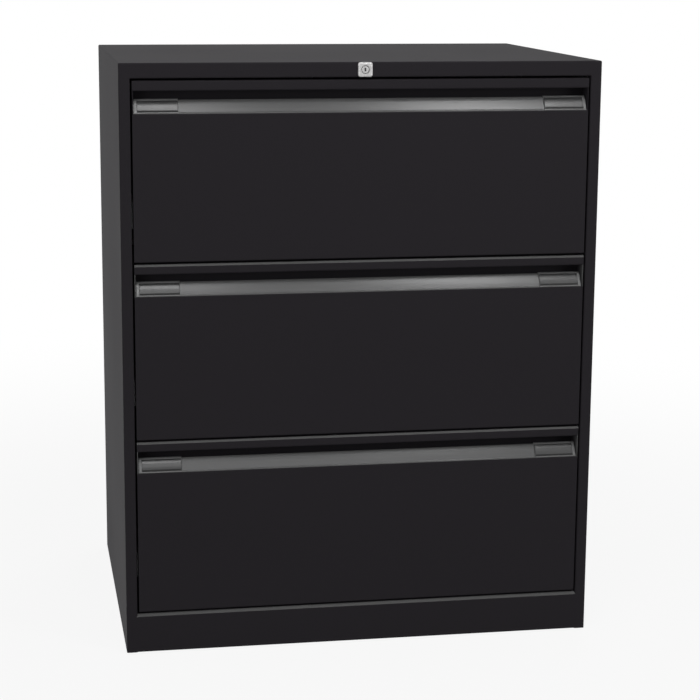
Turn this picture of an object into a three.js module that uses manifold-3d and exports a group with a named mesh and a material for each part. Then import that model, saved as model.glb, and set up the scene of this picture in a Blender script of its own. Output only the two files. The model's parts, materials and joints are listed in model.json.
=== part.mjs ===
import * as THREE from 'three';
import { mergeVertices } from 'three/addons/utils/BufferGeometryUtils.js';
import Module from 'manifold-3d';

// Three-drawer lateral filing cabinet in folded sheet steel. Millimetres, +Z up, front towards -Y.
// Every piece is drawn with the front plane at y = 0 and the floor at z = 0.

// Carcass
const width = 820;
const depth = 622;
const height = 1016;
const sheet = 1.2; // folded steel of the carcass and the drawers
const frontFlange = 19; // side panel's face beside the drawers
const flangeLip = 16; // its return into the cabinet
const rearFlange = 20;
const fasciaHeight = 25.5;
const fasciaReturn = 15;
const plinthTop = 72;
const plinthReturn = 25;
const floorGap = 3; // carcass edges stand this far off the floor
const baseClearance = 0.4; // base panel behind the flange lips

// Levelling feet
const footInset = 45; // from the cabinet's sides, front and back
const footRadius = 18;
const footThickness = 7;
const footCone = 5;
const studRadius = 5;
const nutRadius = 9;
const nutHeight = 8;

// Slide uprights
const uprightSheet = 1.5;
const uprightWidth = 40;
const uprightFoot = 12;
const uprightInset = 24; // from the ends of the slides
const strapHeight = 40; // straps that tie the two uprights of a side
const strapInset = 60; // from the uprights' ends

// Drawer fronts
const drawerCount = 3;
const reveal = 3.5; // gap above and below each front
const sideReveal = 3;
const headerHeight = 16.8;
const headerLip = 7;
const gripGap = 16.2; // finger gap between the header and the pull strip
const pocketDepth = 36; // finger recess behind the strip
const frontReturn = 18; // bottom and side returns of the panel

// Pull strips and label holders
const stripHeight = 22;
const stripLean = 13.6; // how far the top edge lies behind the bottom edge
const stripSetback = 2.4; // bottom edge behind the front plane
const stripWall = 2;
const stripFoot = 17;
const stripEndClearance = 0.5;
const labelWidth = 73;
const labelInset = 1.2; // from the strip's end
const labelWall = 1.6;
const labelClearance = 0.3;
const labelBottom = 1.6; // strip left bare below the label holder
const arcSteps = 10;

// Drawer trays and filing frames
const rearSpace = 44.8; // behind the trays, for the lock bar
const trayLift = 12; // tray bottom above the front's lower edge
const trayHeadroom = 53; // tray rim below the front's upper edge
const railHeight = 11;
const railStep = 2; // rails above the underside of the cross bars
const railWall = 3;
const railInset = 25; // outer rails from the tray's sides
const rowGap = 44; // between the two rows of files
const crossBar = 10;
const trayFlange = 8; // folded in under the tray's loose floor
const floorClearance = 0.3;

// Telescopic slides, three nested channels
const slideHeight = 45;
const slideThickness = 12.7;
const slideSheet = 1.2;
const slideInset = 1; // outer member behind the edge of the front opening
const slideLift = 62; // slide centre above the tray bottom
const slideSetback = 3; // front end behind the tray's front wall
const raceGap = 0.6; // ball race between two members
const webGap = 0.5; // between the webs of the outer and middle members
const slideLipGap = 1.3; // channel edges short of the facing web
const middleShortfall = 20; // middle member shorter than the others

// Lock in the fascia, torsion rod, crank, rising bar
const lockWidth = 25;
const lockHeight = 24.5;
const lockCorner = 4;
const lockProud = 4;
const barrelRadius = 9;
const barrelLength = 20;
const plugRadius = 6.3;
const plugSunk = 0.6;
const plugLength = 26;
const keySlotWidth = 1.6;
const keySlotHeight = 7;
const keySlotDepth = 10;
const turningClearance = 0.4;
const rodRadius = 4;
const bracketSetback = 90; // rod bracket ahead of the cabinet's back
const bracketWidth = 30;
const bracketDrop = 10; // bracket below the rod's centre
const bracketFlange = 20;
const bracketSheet = 1.5;
const crankRadius = 8;
const crankWidth = 9;
const crankThickness = 3;
const crankPinRadius = 1.8;
const pinClearance = 0.5;
const crankRestAngle = 45; // degrees below the horizontal at rest
const barWidth = 20;
const barThickness = 3;
const barHeadRim = 2.4; // steel round the crank pin's slot
const barFoot = 12; // bar below its lowest finger
const slidingClearance = 0.4;
const guideSheet = 1.5;
const guideLip = 2.5;
const guideDrop = 30; // guide's top below the lock
const catchWidth = 24;
const catchSheet = 2;
const catchReach = 14; // tongue behind the tray
const catchTongue = 10;
const catchPlate = 30;
const catchLift = 130; // catch above the tray bottom
const fingerWidth = 12;
const fingerTip = 9;
const fingerDrop = 16; // finger tip below the catch arm at rest
const fingerClearance = 2; // tip ahead of the tongue

// Places that follow from the sizes above
const sideInner = width / 2 - sheet;
const openingHalf = width / 2 - frontFlange;
const frontHalf = openingHalf - sideReveal;
const topUnder = height - sheet;
const fasciaBottom = height - fasciaHeight;
const baseTop = plinthTop - sheet;
const backInner = depth - 2 * sheet;
const frontHeight = (fasciaBottom - plinthTop - reveal * (drawerCount + 1)) / drawerCount;
const panelTop = frontHeight - headerHeight - gripGap - stripHeight;
const frontDepth = pocketDepth + sheet;
const endPlate = frontHalf - sheet; // middle of the plates that close the fronts' ends
const stripHalf = endPlate - sheet / 2 - stripEndClearance;
const trayBack = depth - rearSpace;
const trayTop = frontHeight - trayHeadroom;
const slideBack = openingHalf - slideInset;
const trayHalf = slideBack - slideThickness;
const slideFront = frontDepth + slideSetback;
const lockZ = height - fasciaHeight / 2;
const plugBack = plugLength - lockProud + plugSunk;
const barBack = backInner - guideSheet - slidingClearance;
const barFront = barBack - barThickness;
const crankBack = barFront - slidingClearance;
const crankFront = crankBack - crankThickness;
const guideFront = barFront - slidingClearance - guideSheet;
const pinAngle = Math.PI + THREE.MathUtils.degToRad(crankRestAngle);
const pinX = crankRadius * Math.cos(pinAngle);
const pinZ = lockZ + crankRadius * Math.sin(pinAngle);
const drawerBottom = (index) => fasciaBottom - (index + 1) * (frontHeight + reveal);
const sides = [['left', -1], ['right', 1]];

// Finishes
const blackCoat = { color: 0x242426, roughness: 0.5, metalness: 0.2 };
const satinGrey = { color: 0x8c8d90, roughness: 0.35, metalness: 0.9 };
const smokyClear = { color: 0x4b4c4f, roughness: 0.12, metalness: 0 };
const nickel = { color: 0xc9c9cb, roughness: 0.22, metalness: 1 };
const zinc = { color: 0xa4a7aa, roughness: 0.35, metalness: 1 };
const darkPlastic = { color: 0x1b1b1c, roughness: 0.6, metalness: 0 };

const wasm = await Module();
wasm.setup();

function solidOf(geometry) {
  const bare = geometry.clone();
  bare.deleteAttribute('normal');
  bare.deleteAttribute('uv');
  const merged = mergeVertices(bare, 1e-4);
  return new wasm.Manifold(new wasm.Mesh({
    numProp: 3,
    vertProperties: new Float32Array(merged.attributes.position.array),
    triVerts: new Uint32Array(merged.index.array),
  }));
}

function geometryOf(solid) {
  const mesh = solid.getMesh();
  const geometry = new THREE.BufferGeometry();
  geometry.setAttribute('position', new THREE.BufferAttribute(mesh.vertProperties, 3));
  geometry.setIndex(new THREE.BufferAttribute(mesh.triVerts, 1));
  geometry.computeVertexNormals();
  return geometry;
}

function join(first, ...others) {
  return geometryOf(others.reduce((solid, other) => solid.add(solidOf(other)), solidOf(first)));
}

function cut(first, ...others) {
  return geometryOf(others.reduce((solid, other) => solid.subtract(solidOf(other)), solidOf(first)));
}

function block([x0, x1], [y0, y1], [z0, z1]) {
  const geometry = new THREE.BoxGeometry(x1 - x0, y1 - y0, z1 - z0);
  return geometry.translate((x0 + x1) / 2, (y0 + y1) / 2, (z0 + z1) / 2);
}

function extrude(shape, length) {
  return new THREE.ExtrudeGeometry(shape, { depth: length, bevelEnabled: false, curveSegments: 8 });
}

const axisX = new THREE.Vector3(1, 0, 0);
const axisY = new THREE.Vector3(0, 1, 0);
const axisZ = new THREE.Vector3(0, 0, 1);
const backward = new THREE.Vector3(0, -1, 0);

// A (y, z) outline drawn out along X.
function alongX(shape, [x0, x1]) {
  const turn = new THREE.Matrix4().makeBasis(axisY, axisZ, axisX).setPosition(x0, 0, 0);
  return extrude(shape, x1 - x0).applyMatrix4(turn);
}

// An (x, z) outline drawn out along Y.
function alongY(shape, [y0, y1]) {
  const turn = new THREE.Matrix4().makeBasis(axisX, axisZ, backward).setPosition(0, y1, 0);
  return extrude(shape, y1 - y0).applyMatrix4(turn);
}

// An (x, y) outline drawn out along Z.
function alongZ(shape, [z0, z1]) {
  return extrude(shape, z1 - z0).translate(0, 0, z0);
}

// A round bar along Y.
function roundBar(radius, [x, z], [y0, y1], segments = 20) {
  const geometry = new THREE.CylinderGeometry(radius, radius, y1 - y0, segments);
  return geometry.translate(x, (y0 + y1) / 2, z);
}

// The outline of a folded sheet: its fold points, with the thickness to the right of the path.
function foldedSheet(points, thickness) {
  const path = points.map(([a, b]) => new THREE.Vector2(a, b));
  const normals = path.slice(1).map((point, index) => {
    const along = point.clone().sub(path[index]).normalize();
    return new THREE.Vector2(along.y, -along.x);
  });
  const far = path.map((point, index) => {
    const before = normals[Math.max(index - 1, 0)];
    const after = normals[Math.min(index, normals.length - 1)];
    const mitre = before.clone().add(after);
    return point.clone().addScaledVector(mitre, 2 * thickness / mitre.lengthSq());
  });
  return new THREE.Shape([...path, ...far.reverse()]);
}

// Points drawn for the left side, or mirrored and reversed for the right one.
function onSide(points, side) {
  return side < 0 ? points : points.map(([x, other]) => [-x, other]).reverse();
}

function piece(name, geometry, finish) {
  const mesh = new THREE.Mesh(geometry, new THREE.MeshStandardMaterial(finish));
  mesh.name = name;
  return mesh;
}

// The top sheet with its fascia folded down between the side flanges, bored for the lock.
function topPanel() {
  const cover = block([-width / 2, width / 2], [0, depth], [topUnder, height]);
  const fold = foldedSheet([[fasciaReturn, fasciaBottom], [0, fasciaBottom], [0, topUnder]], sheet);
  const fascia = alongX(fold, [-openingHalf, openingHalf]);
  const hole = roundBar(barrelRadius + turningClearance, [0, lockZ], [-sheet, 2 * sheet], 32);
  return cut(join(cover, fascia), hole);
}

// Lip, front flange, outer face and rear flange in one folded sheet.
function sidePanel(side) {
  const plan = [
    [-openingHalf, flangeLip],
    [-openingHalf, 0],
    [-width / 2, 0],
    [-width / 2, depth],
    [-width / 2 + rearFlange, depth],
  ];
  return alongZ(foldedSheet(onSide(plan, side), sheet), [floorGap, topUnder]);
}

function backPanel() {
  return block([-sideInner, sideInner], [backInner, depth - sheet], [floorGap, topUnder]);
}

function basePanel() {
  return block([-sideInner, sideInner], [flangeLip + baseClearance, backInner], [baseTop - sheet, baseTop]);
}

function plinth() {
  const fold = [[plinthReturn, floorGap], [0, floorGap], [0, plinthTop], [plinthReturn, plinthTop]];
  return alongX(foldedSheet(fold, sheet), [-openingHalf, openingHalf]);
}

// A hat section between the side panel and the slides.
function upright(side, y0) {
  const web = slideBack + uprightSheet;
  const y1 = y0 + uprightWidth;
  const plan = [
    [-sideInner, y0 - uprightFoot],
    [-sideInner, y0],
    [-web, y0],
    [-web, y1],
    [-sideInner, y1],
    [-sideInner, y1 + uprightFoot],
  ];
  return alongZ(foldedSheet(onSide(plan, side), uprightSheet), [baseTop, topUnder]);
}

// The front and rear uprights of one side, tied into a frame by a strap near each end.
function slideFrame(side) {
  const places = [slideFront + uprightInset, trayBack - uprightInset - uprightWidth];
  const strapX = [0.75, 0.25].map((share) => side * (sideInner - share * uprightSheet));
  const strapY = [places[0] + uprightWidth + uprightFoot / 2, places[1] - uprightFoot / 2];
  const straps = [baseTop + strapInset, topUnder - strapInset - strapHeight].map(
    (z) => block(strapX.sort((a, b) => a - b), strapY, [z, z + strapHeight]),
  );
  return join(...places.map((y) => upright(side, y)), ...straps);
}

// A round pad on a threaded stud, with a nut against the underside of the base panel.
function foot() {
  const top = baseTop - sheet;
  const profile = [
    [0, 0],
    [footRadius, 0],
    [footRadius, footThickness],
    [studRadius, footThickness + footCone],
    [studRadius, top - nutHeight],
    [nutRadius, top - nutHeight],
    [nutRadius, top],
    [0, top],
  ];
  const turned = new THREE.LatheGeometry(profile.map(([r, z]) => new THREE.Vector2(r, z)), 24);
  return turned.rotateX(Math.PI / 2);
}

function roundedRectangle(w, h, radius) {
  const shape = new THREE.Shape();
  shape.absarc(w / 2 - radius, h / 2 - radius, radius, 0, Math.PI / 2);
  shape.absarc(-w / 2 + radius, h / 2 - radius, radius, Math.PI / 2, Math.PI);
  shape.absarc(-w / 2 + radius, -h / 2 + radius, radius, Math.PI, 1.5 * Math.PI);
  shape.absarc(w / 2 - radius, -h / 2 + radius, radius, 1.5 * Math.PI, 2 * Math.PI);
  return shape;
}

// A square bezel on the fascia with a barrel through it, bored for the plug.
function lockHousing() {
  const face = roundedRectangle(lockWidth, lockHeight, lockCorner);
  const bezel = alongY(face, [-lockProud, 0]).translate(0, 0, lockZ);
  const barrel = roundBar(barrelRadius, [0, lockZ], [-lockProud / 2, barrelLength], 24);
  const bore = roundBar(plugRadius + turningClearance, [0, lockZ], [-2 * lockProud, 2 * barrelLength], 32);
  return cut(join(bezel, barrel), bore);
}

function lockPlug() {
  const front = plugSunk - lockProud;
  const slotX = [-keySlotWidth / 2, keySlotWidth / 2];
  const slotZ = [lockZ - keySlotHeight / 2, lockZ + keySlotHeight / 2];
  const keySlot = block(slotX, [front - 1, front + keySlotDepth], slotZ);
  return cut(roundBar(plugRadius, [0, lockZ], [front, plugBack], 24), keySlot);
}


// An angle bracket under the top panel that carries the rod's rear end.
function rodBracket() {
  const y = depth - bracketSetback;
  const fold = [[y, lockZ - bracketDrop], [y, topUnder], [y + bracketFlange, topUnder]];
  const angle = alongX(foldedSheet(fold, bracketSheet), [-bracketWidth / 2, bracketWidth / 2]);
  const hole = roundBar(rodRadius + turningClearance, [0, lockZ], [y - 1, y + bracketSheet + 1]);
  return cut(angle, hole);
}

// A torsion rod from the plug to the back, with a round-ended arm and the pin that lifts the bar.
function lockRod() {
  const rod = roundBar(rodRadius, [0, lockZ], [plugBack, crankFront + crankThickness / 2]);
  const r = crankWidth / 2;
  const shape = new THREE.Shape();
  shape.absarc(0, 0, r, pinAngle + Math.PI / 2, pinAngle + 1.5 * Math.PI);
  shape.absarc(pinX, pinZ - lockZ, r, pinAngle - Math.PI / 2, pinAngle + Math.PI / 2);
  const arm = alongY(shape, [crankFront, crankBack]).translate(0, 0, lockZ);
  const pin = roundBar(crankPinRadius, [pinX, pinZ], [crankBack - crankThickness / 2, barBack], 16);
  return join(rod, arm, pin);
}

const catchTop = (index) => drawerBottom(index) + trayLift + catchLift;

// The bar behind the trays: a slotted head for the crank pin and one hooked finger to each drawer.
function lockBar() {
  const slotHalf = crankPinRadius + pinClearance;
  const slotX = [-crankRadius - slotHalf, pinX + slotHalf];
  const slotZ = [pinZ - slotHalf, pinZ + slotHalf];
  const thickness = [barFront, barBack];
  const headZ = [slotZ[0] - barHeadRim, slotZ[1] + barHeadRim];
  const head = block([slotX[0] - barHeadRim, barWidth / 2], thickness, headZ);
  const foot = catchTop(drawerCount - 1) - catchSheet - fingerDrop - fingerTip - barFoot;
  const stem = block([-barWidth / 2, barWidth / 2], thickness, [foot, headZ[0] + barHeadRim / 2]);
  const slot = block(slotX, [barFront - 1, barBack + 1], slotZ);
  const tipBack = trayBack + catchReach - catchSheet - fingerClearance;
  const fingerX = [-fingerWidth / 2, fingerWidth / 2];
  const fingers = [];
  for (let index = 0; index < drawerCount; index += 1) {
    const tipTop = catchTop(index) - fingerDrop;
    const armTop = tipTop - fingerTip;
    const armBottom = armTop - barThickness;
    fingers.push(block(fingerX, [tipBack - barThickness, barFront + 1], [armBottom, armTop]));
    fingers.push(block(fingerX, [tipBack - barThickness, tipBack], [armBottom, tipTop]));
  }
  return cut(join(head, stem, ...fingers), slot);
}

// A lipped channel on the back panel that keeps the bar upright.
function lockGuide() {
  const half = barWidth / 2 + slidingClearance + guideSheet;
  const lip = half - guideSheet - guideLip;
  const plan = [
    [lip, guideFront],
    [half, guideFront],
    [half, backInner],
    [-half, backInner],
    [-half, guideFront],
    [-lip, guideFront],
  ];
  const bottom = catchTop(drawerCount - 1) - catchPlate;
  return alongZ(foldedSheet(plan.reverse(), guideSheet), [bottom, lockZ - guideDrop]);
}

// Panel, finger recess and header in one folded sheet, with closed ends.
function drawerFront() {
  const fold = [
    [frontReturn, 0],
    [0, 0],
    [0, panelTop],
    [pocketDepth, panelTop],
    [pocketDepth, frontHeight - sheet],
    [sheet, frontHeight - sheet],
    [sheet, frontHeight - headerHeight + sheet],
    [headerLip, frontHeight - headerHeight + sheet],
  ];
  const skin = alongX(foldedSheet(fold, sheet), [-frontHalf, frontHalf]);
  const seam = sheet / 2; // the end plates stop half way into the sheet
  const outline = new THREE.Shape([
    new THREE.Vector2(seam, seam),
    new THREE.Vector2(frontReturn - seam, seam),
    new THREE.Vector2(frontReturn - seam, panelTop - seam),
    new THREE.Vector2(pocketDepth + seam, panelTop - seam),
    new THREE.Vector2(pocketDepth + seam, frontHeight - seam),
    new THREE.Vector2(seam, frontHeight - seam),
  ]);
  const plate = alongX(outline, [-sheet / 2, sheet / 2]);
  const ends = sides.map(([, side]) => plate.clone().translate(side * endPlate, 0, 0));
  return join(skin, ...ends);
}

// The strip's face is an arc, upright at the bottom and leaning back at the top.
const stripSweep = 2 * Math.atan(stripLean / stripHeight);
const stripRadius = stripHeight / Math.sin(stripSweep);
const stripCentre = [stripSetback + stripRadius, panelTop];

function stripArc(radius, from, to) {
  return Array.from({ length: arcSteps + 1 }, (_, step) => {
    const angle = from + (to - from) * step / arcSteps;
    const y = stripCentre[0] - radius * Math.cos(angle);
    return new THREE.Vector2(y, stripCentre[1] + radius * Math.sin(angle));
  });
}

// A curved lip that stands on the floor of the finger recess on its own foot.
function pullStrip() {
  const inside = stripRadius - stripWall;
  const heel = Math.asin(stripWall / inside);
  const shape = new THREE.Shape([
    ...stripArc(stripRadius, 0, stripSweep),
    ...stripArc(inside, stripSweep, heel),
    new THREE.Vector2(stripSetback + stripFoot, panelTop + stripWall),
    new THREE.Vector2(stripSetback + stripFoot, panelTop),
  ]);
  return alongX(shape, [-stripHalf, stripHalf]);
}

// A clear cover that follows the strip's face and hooks over its top edge.
function labelHolder(side) {
  const inner = stripRadius + labelClearance;
  const outer = inner + labelWall;
  const low = Math.asin(labelBottom / outer);
  const over = stripSweep + labelClearance / stripRadius;
  const hook = stripRadius - stripWall - labelClearance;
  const shape = new THREE.Shape([
    ...stripArc(outer, low, over + labelWall / stripRadius),
    ...stripArc(hook, over + labelWall / stripRadius, over),
    ...stripArc(inner, over, low),
  ]);
  const end = stripHalf - labelInset;
  const spanX = side < 0 ? [-end, -end + labelWidth] : [end - labelWidth, end];
  return alongX(shape, spanX);
}

// Four walls, folded in at the foot to carry the floor.
function drawerTray() {
  const foot = trayLift - sheet;
  const outside = block([-trayHalf, trayHalf], [frontDepth, trayBack], [foot, trayTop]);
  const inside = block(
    [-trayHalf + sheet, trayHalf - sheet],
    [frontDepth + sheet, trayBack - sheet],
    [trayLift, trayTop + sheet],
  );
  const well = block(
    [-trayHalf + trayFlange, trayHalf - trayFlange],
    [frontDepth + trayFlange, trayBack - trayFlange],
    [foot - sheet, trayLift + sheet],
  );
  return cut(cut(outside, inside), well);
}

// A flat sheet dropped in between the tray's walls.
function trayFloor() {
  const gap = sheet + floorClearance;
  return block(
    [-trayHalf + gap, trayHalf - gap],
    [frontDepth + gap, trayBack - gap],
    [trayLift, trayLift + sheet],
  );
}

// Two rows of hanging rails from front to back, tied by a cross bar at each end.
function filingFrame() {
  const bars = [frontDepth, trayBack - crossBar].map(
    (y) => block([-trayHalf, trayHalf], [y, y + crossBar], [trayTop, trayTop + crossBar]),
  );
  const spanY = [frontDepth + crossBar / 2, trayBack - crossBar / 2];
  const spanZ = [trayTop + railStep, trayTop + railStep + railHeight];
  const outer = trayHalf - railInset;
  const inner = rowGap / 2;
  const rails = [-outer, -inner - railWall, inner, outer - railWall].map(
    (x) => block([x, x + railWall], spanY, spanZ),
  );
  return join(...bars, ...rails);
}

// An angle on the tray's back with a tongue that hangs behind the lock bar's finger.
function lockCatch() {
  const top = trayLift + catchLift;
  const fold = [
    [trayBack, top - catchPlate],
    [trayBack, top],
    [trayBack + catchReach, top],
    [trayBack + catchReach, top - catchTongue],
  ];
  return alongX(foldedSheet(fold, catchSheet), [-catchWidth / 2, catchWidth / 2]);
}

const slideHalves = [0, 1, 2].map((step) => slideHeight / 2 - step * (slideSheet + raceGap));

// One channel of a slide: its web and edges as distances from the cabinet's wall of the slide.
function slideChannel(side, web, edge, half, spanY) {
  const z = trayLift + slideLift;
  const toX = (reach) => -slideBack + reach;
  const rise = edge > web ? -half : half;
  const fold = [
    [toX(edge), z + rise],
    [toX(web), z + rise],
    [toX(web), z - rise],
    [toX(edge), z - rise],
  ];
  return alongY(foldedSheet(onSide(fold, side), slideSheet), spanY);
}

function slideOuter(side) {
  const edge = slideThickness - slideSheet - slideLipGap;
  return slideChannel(side, 0, edge, slideHalves[0], [slideFront, trayBack]);
}

function slideMiddle(side) {
  const web = slideSheet + webGap;
  const edge = slideThickness - slideSheet - webGap;
  const spanY = [slideFront, trayBack - middleShortfall];
  return slideChannel(side, web, edge, slideHalves[1], spanY);
}

function slideInner(side) {
  const edge = 2 * slideSheet + webGap + slideLipGap;
  return slideChannel(side, slideThickness, edge, slideHalves[2], [slideFront, trayBack]);
}

const cabinet = new THREE.Group();
cabinet.name = 'lateral_filing_cabinet';
cabinet.position.y = -(depth - lockProud) / 2;

cabinet.add(piece('top_panel', topPanel(), blackCoat));
cabinet.add(piece('back_panel', backPanel(), blackCoat));
cabinet.add(piece('base_panel', basePanel(), blackCoat));
cabinet.add(piece('plinth', plinth(), blackCoat));

const footPlaces = [['front', footInset], ['rear', depth - footInset]];
for (const [sideName, side] of sides) {
  cabinet.add(piece(`${sideName}_side_panel`, sidePanel(side), blackCoat));
  cabinet.add(piece(`${sideName}_slide_frame`, slideFrame(side), zinc));
  for (const [endName, y] of footPlaces) {
    const leveller = piece(`${endName}_${sideName}_foot`, foot(), darkPlastic);
    leveller.position.set(side * (width / 2 - footInset), y, 0);
    cabinet.add(leveller);
  }
}

cabinet.add(piece('lock_housing', lockHousing(), nickel));
cabinet.add(piece('lock_plug', lockPlug(), nickel));
cabinet.add(piece('lock_rod', lockRod(), zinc));
cabinet.add(piece('rod_bracket', rodBracket(), zinc));
cabinet.add(piece('lock_bar', lockBar(), zinc));
cabinet.add(piece('lock_guide', lockGuide(), zinc));

for (let index = 0; index < drawerCount; index += 1) {
  const number = index + 1;
  const drawer = new THREE.Group();
  drawer.position.z = drawerBottom(index);
  drawer.add(piece(`drawer_front_${number}`, drawerFront(), blackCoat));
  drawer.add(piece(`pull_strip_${number}`, pullStrip(), satinGrey));
  drawer.add(piece(`drawer_tray_${number}`, drawerTray(), blackCoat));
  drawer.add(piece(`tray_floor_${number}`, trayFloor(), blackCoat));
  drawer.add(piece(`filing_frame_${number}`, filingFrame(), zinc));
  drawer.add(piece(`lock_catch_${number}`, lockCatch(), zinc));
  for (const [sideName, side] of sides) {
    drawer.add(piece(`label_holder_${sideName}_${number}`, labelHolder(side), smokyClear));
    drawer.add(piece(`slide_outer_${sideName}_${number}`, slideOuter(side), zinc));
    drawer.add(piece(`slide_middle_${sideName}_${number}`, slideMiddle(side), zinc));
    drawer.add(piece(`slide_inner_${sideName}_${number}`, slideInner(side), zinc));
  }
  cabinet.add(drawer);
}

export default cabinet;
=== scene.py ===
import json
import math
import bmesh
import bpy
from mathutils import Matrix, Vector


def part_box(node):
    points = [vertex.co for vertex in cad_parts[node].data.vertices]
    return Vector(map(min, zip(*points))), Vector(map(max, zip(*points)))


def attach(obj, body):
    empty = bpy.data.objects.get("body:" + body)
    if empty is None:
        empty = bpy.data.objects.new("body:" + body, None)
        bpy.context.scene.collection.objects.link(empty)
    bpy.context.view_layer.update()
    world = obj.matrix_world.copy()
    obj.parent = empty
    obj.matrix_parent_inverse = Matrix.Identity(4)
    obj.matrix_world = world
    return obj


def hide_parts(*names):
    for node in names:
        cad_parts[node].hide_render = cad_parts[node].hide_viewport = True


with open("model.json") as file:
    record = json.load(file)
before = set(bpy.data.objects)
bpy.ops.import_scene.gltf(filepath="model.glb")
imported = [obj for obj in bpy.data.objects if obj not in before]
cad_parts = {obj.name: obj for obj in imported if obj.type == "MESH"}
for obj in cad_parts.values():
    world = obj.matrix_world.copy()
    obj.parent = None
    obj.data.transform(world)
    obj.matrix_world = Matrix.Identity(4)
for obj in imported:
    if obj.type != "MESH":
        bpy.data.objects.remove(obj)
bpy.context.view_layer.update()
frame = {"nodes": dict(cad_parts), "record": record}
mm = 0.001
print("frame loaded with", len(frame["nodes"]), "CAD nodes")


# shader maths: a Wire is one output socket, and sums and products of Wires add Math nodes
class Wire:
    def __init__(self, graph, socket):
        self.graph = graph
        self.socket = socket

    def calc(self, operation, first, second):
        return self.graph.node("ShaderNodeMath", {"operation": operation}, {0: first, 1: second})

    def out(self, key):  # another output of the same node
        return Wire(self.graph, self.socket.node.outputs[key])

    def __add__(self, other):
        return self.calc("ADD", self, other)

    def __radd__(self, other):
        return self.calc("ADD", other, self)

    def __sub__(self, other):
        return self.calc("SUBTRACT", self, other)

    def __rsub__(self, other):
        return self.calc("SUBTRACT", other, self)

    def __mul__(self, other):
        return self.calc("MULTIPLY", self, other)

    def __rmul__(self, other):
        return self.calc("MULTIPLY", other, self)


class Graph:
    def __init__(self, tree):
        self.tree = tree
        self.tree.nodes.clear()

    def node(self, kind, settings, sockets, output=0):
        made = self.tree.nodes.new(kind)
        for key, value in settings.items():
            setattr(made, key, value)
        for key, value in sockets.items():
            if isinstance(value, Wire):
                self.tree.links.new(value.socket, made.inputs[key])
            else:
                made.inputs[key].default_value = value
        return Wire(self, made.outputs[output]) if made.outputs else None

    def noise(self, spot, scale, detail):
        return self.node("ShaderNodeTexNoise", {}, {"Vector": spot, "Scale": scale, "Detail": detail})

    def blend(self, factor, first, second):  # colours go by number, since other sockets share their names
        return self.node("ShaderNodeMix", {"data_type": "RGBA"}, {0: factor, 6: first, 7: second}, 2)

    def coordinates(self, scale=(1, 1, 1)):  # the object's own, scaled along each axis
        spot = self.node("ShaderNodeTexCoord", {}, {}, "Object")
        return self.node("ShaderNodeMapping", {}, {"Vector": spot, "Scale": scale})

    def relief(self, height, strength, depth):
        return self.node("ShaderNodeBump", {}, {"Strength": strength, "Distance": depth, "Height": height})

    def backgroundRays(self):  # rays that should meet a white background: seen, mirrored or let through
        ray = self.node("ShaderNodeLightPath", {}, {}, "Is Camera Ray")
        return self.node("ShaderNodeMath", {"operation": "ADD", "use_clamp": True},
                         {0: ray + ray.out("Is Glossy Ray"), 1: ray.out("Is Transmission Ray")})

    def surface(self, sockets):
        shader = self.node("ShaderNodeBsdfPrincipled", {}, sockets, "BSDF")
        self.node("ShaderNodeOutputMaterial", {}, {"Surface": shader})


def newFinish(name):
    finish = bpy.data.materials.new(name)
    finish.use_nodes = True
    return finish, Graph(finish.node_tree)


def grey(level, warm=0.0):
    return (level + warm, level, level - warm, 1)


def swing(amount, mask):  # a mask from 0 to 1 as a change to either side
    return amount * (mask - 0.5)


# finishes; a noise is given as its scale and its detail
# edge is a lighter grey painted onto chamfered folds as a highlight, standing in for the light they catch
coatSizes = {"dark": (0.0106, 0.0092, 0.0114, 1), "light": (0.0128, 0.0112, 0.0136, 1), "edge": grey(0.082),
             "gloss": 0.12, "roughness": 0.7, "cloud": (2.2, 3), "cloudRough": 0.12, "peel": (320, 1),
             "grain": (1500, 1), "grainRough": 0.06, "peelShare": 0.6, "bump": 0.1, "bumpDepth": 0.3 * mm,
             "highlightLeast": 0.7, "highlightCloud": 0.6, "highlightSmooth": 0.25}


def powderCoat(name, sizes):  # painted highlight: the chamfered folds are painted lighter, standing in for the light they catch, and made smoother
    finish, graph = newFinish(name)
    spot = graph.coordinates()
    cloud = graph.noise(spot, *sizes["cloud"])
    peel = graph.noise(spot, *sizes["peel"])
    grain = graph.noise(spot, *sizes["grain"])
    fold = graph.node("ShaderNodeAttribute", {"attribute_name": "paintedHighlight"}, {}, "Fac")
    paintedHighlight = fold * (sizes["highlightLeast"] + sizes["highlightCloud"] * cloud)
    coat = graph.blend(cloud, sizes["dark"], sizes["light"])
    roughness = sizes["roughness"] + swing(sizes["cloudRough"], cloud) + swing(sizes["grainRough"], grain)
    height = sizes["peelShare"] * peel + (1 - sizes["peelShare"]) * grain
    graph.surface({"Base Color": graph.blend(paintedHighlight, coat, sizes["edge"]),
                   "Roughness": roughness - sizes["highlightSmooth"] * paintedHighlight,
                   "Specular IOR Level": sizes["gloss"],
                   "Normal": graph.relief(height, sizes["bump"], sizes["bumpDepth"])})
    return finish


satinSizes = {"dark": grey(0.068, -0.0005), "light": grey(0.09, -0.0005), "roughness": 0.24, "metal": 0.12,
              "gloss": 0.3, "stretch": (1.2, 700, 700), "lines": (1, 2), "lineRough": 0.1, "lineShare": 0.7,
              "cloud": (9, 2), "bump": 0.5, "bumpDepth": 0.1 * mm}


def satinMetal(name, sizes):  # anodised, with fine lines drawn along X
    finish, graph = newFinish(name)
    lines = graph.noise(graph.coordinates(sizes["stretch"]), *sizes["lines"])
    cloud = graph.noise(graph.coordinates(), *sizes["cloud"])
    mask = sizes["lineShare"] * lines + (1 - sizes["lineShare"]) * cloud
    graph.surface({"Base Color": graph.blend(mask, sizes["dark"], sizes["light"]),
                   "Roughness": sizes["roughness"] + swing(sizes["lineRough"], lines),
                   "Metallic": sizes["metal"], "Specular IOR Level": sizes["gloss"],
                   "Normal": graph.relief(lines, sizes["bump"], sizes["bumpDepth"])})
    return finish


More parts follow.
